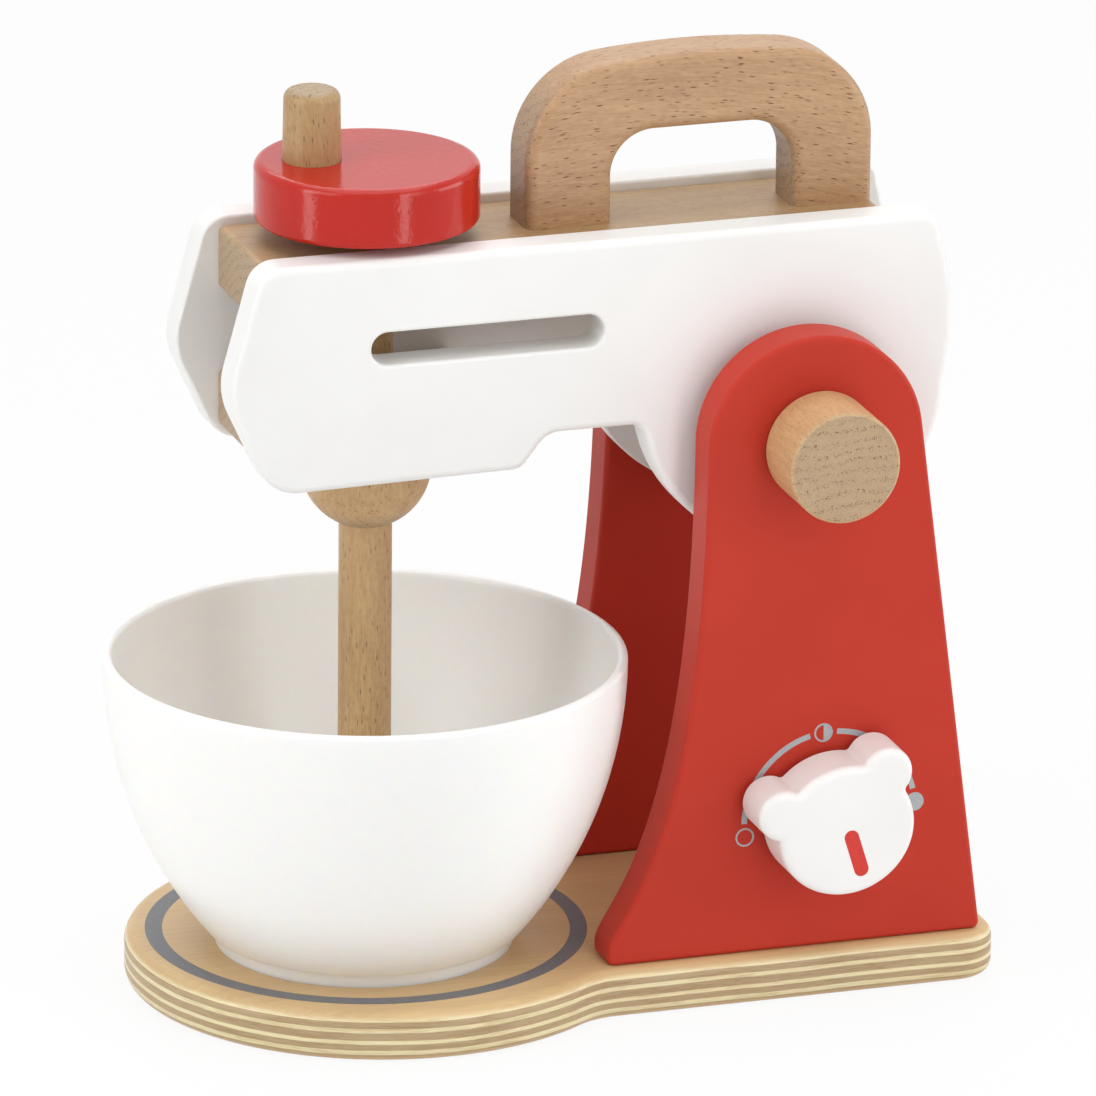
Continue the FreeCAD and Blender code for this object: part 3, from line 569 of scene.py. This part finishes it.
def inked_strip(centre_line, normal, width, thickness):
    """Flat bar carried along a line: point (i, k) is the line's point i plus the corner k of a
    rectangle, width across the line in the surface and thickness along the surface's normal."""
    ahead = np.gradient(centre_line, axis=0)
    ahead /= np.linalg.norm(ahead, axis=1, keepdims=True)
    beside = np.cross(normal, ahead)
    corners = np.array([(-0.5, 0.0), (-0.5, 1.0), (0.5, 1.0), (0.5, 0.0)])
    return (centre_line[:, None] + corners[None, :, :1] * width * beside[:, None]
            + corners[None, :, 1:] * thickness * normal)


def capped(strip):
    """The strip's sheet with both of its ends closed: the first and last corners run together."""
    ends = [np.repeat(strip[k].mean(axis=0)[None, None], strip.shape[1], axis=1) for k in (0, -1)]
    return np.concatenate([ends[0], strip, ends[1]]), False, True


def spoke(angles):
    """Direction from the dial's centre: the cosine to the right and the sine up."""
    return np.cos(angles)[:, None] * RIGHT + np.sin(angles)[:, None] * UP


def disc_sheet(centre, radius, thickness, start=0.0, sweep=TURN):
    """Flat disc or part of one on the near side: point (i, j) lies at the radius i and the angle j
    from the centre, to the right and up, and all rings but the rim are raised by the thickness."""
    spokes = spoke(start + np.linspace(0.0, sweep, DISC_POINTS))
    radii = np.array([0.0, TOP_SHARE, 1.0])[:, None, None] * radius
    rise = np.array([thickness, thickness, 0.0])[:, None, None]
    return centre + radii * spokes[None] + rise * OUT, False, False


def spoke_on_board(angles):
    """Direction on the base board: the cosine along X and the sine along Y."""
    return np.stack([np.cos(angles), np.sin(angles), np.zeros_like(angles)], axis=1)


def ring_sheet(centre_x, inner, outer, height, thickness):
    """Flat ring that lies on a board: point (i, k) is the middle circle's point i plus the corner k
    of a rectangle, half the ring's width along the spoke and the thickness up."""
    spokes = spoke_on_board(np.linspace(0.0, TURN, RING_POINTS, endpoint=False))
    line = np.array([centre_x, 0.0, height]) + (inner + outer) / 2 * spokes
    half = (outer - inner) / 2
    corners = np.array([(-half, 0.0), (-half, thickness), (half, thickness), (half, 0.0)])
    grid = line[:, None] + corners[None, :, :1] * spokes[:, None] + corners[None, :, 1:] * UP
    return grid, True, True


def stadium_sheet(first, last, width, thickness):
    """Flat stadium on the near side: each point of the rim is half the width away from the end of
    the spine that it lies beyond, and all rings but the rim are raised by the thickness."""
    ahead = (last - first) / np.linalg.norm(last - first)
    beside = np.cross(OUT, ahead)
    angles = np.linspace(0.0, TURN, STADIUM_POINTS)[:, None]
    ends = np.where(np.cos(angles) > 0, last, first)
    rim = (np.cos(angles) * ahead + np.sin(angles) * beside) * width / 2
    grid = np.stack([ends + thickness * OUT, ends + rim * TOP_SHARE + thickness * OUT, ends + rim])
    return grid, False, False


def dial_scale_sheets(centre, prints):
    """Two arcs, an outlined circle, a half filled circle and a filled circle round the centre."""
    radius, rise = prints.scale_radius, prints.thickness
    gap = (prints.mark_radius + MARK_GAP) / radius
    sheets = []
    for start, end in ((prints.full_mark, prints.half_mark), (prints.half_mark, prints.empty_mark)):
        line = centre + radius * spoke(np.linspace(start + gap, end - gap, ARC_POINTS))
        sheets.append(capped(inked_strip(line, OUT, prints.scale_stroke, rise)))
    empty, half, full = (centre + radius * spoke(np.array([mark])) for mark in
                         (prints.empty_mark, prints.half_mark, prints.full_mark))
    outline = (prints.mark_radius - prints.mark_line / 2) * spoke(np.linspace(0.0, TURN, CIRCLE_POINTS))
    for mark in (empty, half):
        sheets.append((inked_strip(mark + outline, OUT, prints.mark_line, rise), False, True))
    inside = prints.mark_radius - prints.mark_line * 0.9
    sheets.append(disc_sheet(half, inside, rise, start=-TURN / 4, sweep=TURN / 2))
    sheets.append(disc_sheet(full, prints.mark_radius, rise))
    return sheets


# ---- Operators ----
class MIXER_OT_base(bpy.types.Operator):
    """Finish the plywood base board and print the ring for the bowl on it"""
    bl_idname = "mixer.base"
    bl_label = "Base board"

    def execute(self, context):
        prints = context.scene.mixer_prints
        dress(["base_board"], birch_plywood("birch_plywood"))
        top = node_box("base_board")[1][2]
        ring = ring_sheet(prints.ring_centre, prints.ring_inner, prints.ring_outer, top,
                          prints.thickness)
        printed_piece("base_ring", [ring], "stand", ink("ring_ink", prints.ring))
        return {"FINISHED"}


class MIXER_OT_uprights(bpy.types.Operator):
    """Paint the two uprights and finish the wooden parts between them"""
    bl_idname = "mixer.uprights"
    bl_label = "Uprights"

    def execute(self, context):
        red = paint("upright_red", context.scene.mixer_paints.red, roughness=0.42, peel=0.009,
                    specular=0.12)
        dress(["upright_near", "upright_far"], red)
        dress(["pivot_spacer_near", "pivot_spacer_far", "stop_dowel"], beech("beech_stop", "Y", seed=3))
        return {"FINISHED"}


class MIXER_OT_arm(bpy.types.Operator):
    """Paint the arm's plates and finish its bars, its handle and its axle"""
    bl_idname = "mixer.arm"
    bl_label = "Arm"

    def execute(self, context):
        white = paint("plate_white", context.scene.mixer_paints.white, roughness=0.38, peel=0.007)
        dress(["arm_plate_near", "arm_plate_far"], white)
        # Darker factors for the top bar, the nose block and the handle: their wood's tone with painted
        # shade
        top = beech("beech_top_bar", "X", seed=1, tone_and_shade=(0.74, 0.79, 0.70), flecks=0.3)
        dress(["arm_top_bar"], top)
        nose = beech("beech_nose_block", "X", seed=2, tone_and_shade=(0.72, 0.73, 0.66), flecks=0.5)
        dress(["arm_nose_block"], nose)
        handle = beech("beech_handle", "X", seed=5, tone_and_shade=(0.84, 0.83, 0.80), flecks=1.0, bend=0.0026)
        dress(["carry_handle"], handle)
        dress(["arm_dowels", "pivot_axle"], beech("beech_dowels", "Y", seed=4))
        return {"FINISHED"}


class MIXER_OT_knobs(bpy.types.Operator):
    """Finish the two knobs on the axle"""
    bl_idname = "mixer.knobs"
    bl_label = "Axle knobs"

    def execute(self, context):
        for name, seed in (("pivot_knob_near", 6), ("pivot_knob_far", 7)):
            knob = beech("beech_" + name, "Y", seed=seed, tone_and_shade=(1.02, 1.05, 0.94), flecks=0.35)
            dress([name], knob)
        return {"FINISHED"}


class MIXER_OT_crank(bpy.types.Operator):
    """Paint the crank disc and finish its peg, its washer and the beater"""
    bl_idname = "mixer.crank"
    bl_label = "Crank and beater"

    def execute(self, context):
        gloss = paint("disc_red", context.scene.mixer_paints.gloss_red, roughness=0.13, peel=0.075,
                      specular=0.36)
        dress(["crank_disc"], gloss)
        peg = beech("beech_peg", "Z", seed=8, tilt=(0.0, 0.12, 0.0), tone_and_shade=(0.76, 0.81, 0.66))
        dress(["crank_peg"], peg)
        rod = beech("beech_rod", "Z", seed=9, tone_and_shade=(0.94, 1.0, 0.86), flecks=0.7)
        dress(["beater_rod"], rod)
        hub = beech("beech_hub", "Z", seed=10, tone_and_shade=(0.98, 1.06, 0.96))
        dress(["beater_hub", "crank_washer"], hub)
        dress(["beater_pin_lower"], beech("beech_pin_lower", "X", seed=11))
        dress(["beater_pin_upper"], beech("beech_pin_upper", "Y", seed=12))
        return {"FINISHED"}


class MIXER_OT_bowl(bpy.types.Operator):
    """Finish the loose bowl"""
    bl_idname = "mixer.bowl"
    bl_label = "Bowl"

    def execute(self, context):
        dress(["bowl"], moulded("bowl_white", context.scene.mixer_bowl.body))
        return {"FINISHED"}


class MIXER_OT_dial(bpy.types.Operator):
    """Paint the dial knob, and print its pointer and the scale on the near upright"""
    bl_idname = "mixer.dial"
    bl_label = "Dial"

    def execute(self, context):
        prints = context.scene.mixer_prints
        white = paint("dial_white", context.scene.mixer_paints.white, roughness=0.34, peel=0.006)
        dress(["dial_knob"], white)
        dress(["dial_washer"], beech("beech_dial_washer", "Y", seed=13))
        low, high = node_box("dial_washer")
        middle = (low + high) / 2
        panel_face = node_box("upright_near")[0][1]
        centre = np.array([middle[0], panel_face, middle[2]])
        printed_piece("dial_scale", dial_scale_sheets(centre, prints), "stand",
                      ink("scale_ink", prints.scale))

        knob_face = node_box("dial_knob")[0][1]
        top, foot = (np.array([x, knob_face, z]) for x, z in (POINTER_TOP, POINTER_FOOT))
        pointer = stadium_sheet(top, foot, prints.pointer_width, prints.thickness)
        printed_piece("dial_pointer", [pointer], "dial", ink("pointer_ink", prints.pointer))
        return {"FINISHED"}


class MIXER_OT_screws(bpy.types.Operator):
    """Finish the screws"""
    bl_idname = "mixer.screws"
    bl_label = "Screws"

    def execute(self, context):
        plate = zinc("zinc_plate", context.scene.mixer_screws.zinc)
        dress(["base_screws", "handle_screws", "dial_screw"], plate)
        return {"FINISHED"}


def direction(azimuth, elevation):
    """Direction away from the toy for angles in degrees: azimuth 0 is the near side."""
    azimuth, elevation = math.radians(azimuth), math.radians(elevation)
    return Vector((math.sin(azimuth) * math.cos(elevation), -math.cos(azimuth) * math.cos(elevation),
                   math.sin(elevation)))


def lamp(name, azimuth, elevation, distance, size, watts):
    """Rectangular lamp that looks at the middle of the toy."""
    data = bpy.data.lights.new(name, "AREA")
    data.shape = "RECTANGLE"
    data.size, data.size_y = size
    data.energy = watts
    made = bpy.data.objects.new(name, data)
    bpy.context.scene.collection.objects.link(made)
    away = direction(azimuth, elevation)
    made.location = (CAD_BOX[0] + CAD_BOX[1]) / 2 + away * distance
    made.rotation_euler = away.to_track_quat("Z", "Y").to_euler()
    made.visible_camera = False


def aim_camera(context):
    """Camera at its azimuth and elevation round the toy, rolled about its own line of sight."""
    azimuth, roll = math.radians(CAMERA_AZIMUTH), math.radians(CAMERA_ROLL)
    back = direction(CAMERA_AZIMUTH, CAMERA_ELEVATION)
    level = Vector((math.cos(azimuth), math.sin(azimuth), 0.0))
    upright = back.cross(level)
    right = level * math.cos(roll) + upright * math.sin(roll)
    up = upright * math.cos(roll) - level * math.sin(roll)
    data = bpy.data.cameras.new("camera")
    data.sensor_width = SENSOR
    data.lens = SENSOR * CAMERA_FOCUS / FRAME_PIXELS
    data.shift_x = 0.5 - CAMERA_CENTRE[0] / FRAME_PIXELS
    data.shift_y = CAMERA_CENTRE[1] / FRAME_PIXELS - 0.5
    camera = bpy.data.objects.new("camera", data)
    context.scene.collection.objects.link(camera)
    place = (right * CAMERA_PLACE[0] + up * CAMERA_PLACE[1] + back * CAMERA_PLACE[2]) * MM
    turn = Matrix((right, up, back)).transposed()
    camera.matrix_world = Matrix.Translation(place) @ turn.to_4x4()
    context.scene.camera = camera


class MIXER_OT_stage(bpy.types.Operator):
    """Set up the floor, the light and the camera"""
    bl_idname = "mixer.stage"
    bl_label = "Stage"

    def execute(self, context):
        stage = context.scene.mixer_stage
        half = stage.floor_size / 2
        mesh = bpy.data.meshes.new("floor")
        corners = [(-half, -half, 0.0), (half, -half, 0.0), (half, half, 0.0), (-half, half, 0.0)]
        mesh.from_pydata(corners, [], [(0, 1, 2, 3)])
        floor = bpy.data.objects.new("floor", mesh)
        context.scene.collection.objects.link(floor)
        finish = Finish("floor_white", base_color=shade(stage.floor), roughness=0.9, specular=0.0)
        glow = finish.node("ShaderNodeEmission", inputs={"Color": WHITE, "Strength": 1.0})
        share = finish.backdrop_rays() * stage.glow
        finish.show(finish.node("ShaderNodeMixShader", inputs={0: share, 1: finish.shader, 2: glow}))
        mesh.materials.append(finish.material)

        world = bpy.data.worlds.new("studio")
        context.scene.world = world
        world.use_nodes = True
        air = Nodes(world.node_tree)
        even = air.node("ShaderNodeBackground", inputs={"Color": WHITE, "Strength": stage.sky})
        bright = air.node("ShaderNodeBackground", inputs={"Color": WHITE, "Strength": 1.0})
        mixed = air.node("ShaderNodeMixShader", inputs={0: air.backdrop_rays(), 1: even, 2: bright})
        air.node("ShaderNodeOutputWorld", inputs={"Surface": mixed})

        for name, (azimuth, elevation, distance, size, setting, part) in LAMPS.items():
            lamp(name, azimuth, elevation, distance, size, getattr(stage, setting) * part)
        aim_camera(context)
        context.scene.view_settings.view_transform = "Standard"
        return {"FINISHED"}


class MIXER_PT_panel(bpy.types.Panel):
    """Lists the pieces of the toy mixer"""
    bl_label = "Toy Mixer"
    bl_idname = "MIXER_PT_panel"
    bl_space_type = "VIEW_3D"
    bl_region_type = "UI"
    bl_category = "Toy Mixer"

    def draw(self, context):
        for operator in OPERATORS:
            self.layout.operator(operator.bl_idname, text=operator.bl_label)
        for name in SETTINGS:
            box = self.layout.box()
            group = getattr(context.scene, name)
            for key in group.bl_rna.properties.keys():
                if key not in ("rna_type", "name"):
                    box.prop(group, key)


SETTINGS = {
    "mixer_beech": BeechSettings,
    "mixer_plywood": PlywoodSettings,
    "mixer_paints": PaintSettings,
    "mixer_prints": PrintSettings,
    "mixer_bowl": BowlSettings,
    "mixer_screws": ScrewSettings,
    "mixer_stage": StageSettings,
}
OPERATORS = (MIXER_OT_base, MIXER_OT_uprights, MIXER_OT_arm, MIXER_OT_knobs, MIXER_OT_crank,
             MIXER_OT_bowl, MIXER_OT_dial, MIXER_OT_screws, MIXER_OT_stage)


def register():
    for name, group in SETTINGS.items():
        bpy.utils.register_class(group)
        setattr(bpy.types.Scene, name, PointerProperty(type=group))
    for made in (*OPERATORS, MIXER_PT_panel):
        bpy.utils.register_class(made)


def unregister():
    for made in reversed((*OPERATORS, MIXER_PT_panel)):
        bpy.utils.unregister_class(made)
    for name, group in SETTINGS.items():
        delattr(bpy.types.Scene, name)
        bpy.utils.unregister_class(group)


def main():
    register()
    for operator in OPERATORS:
        group, name = operator.bl_idname.split(".")
        getattr(getattr(bpy.ops, group), name)()


if __name__ == "__main__":
    main()
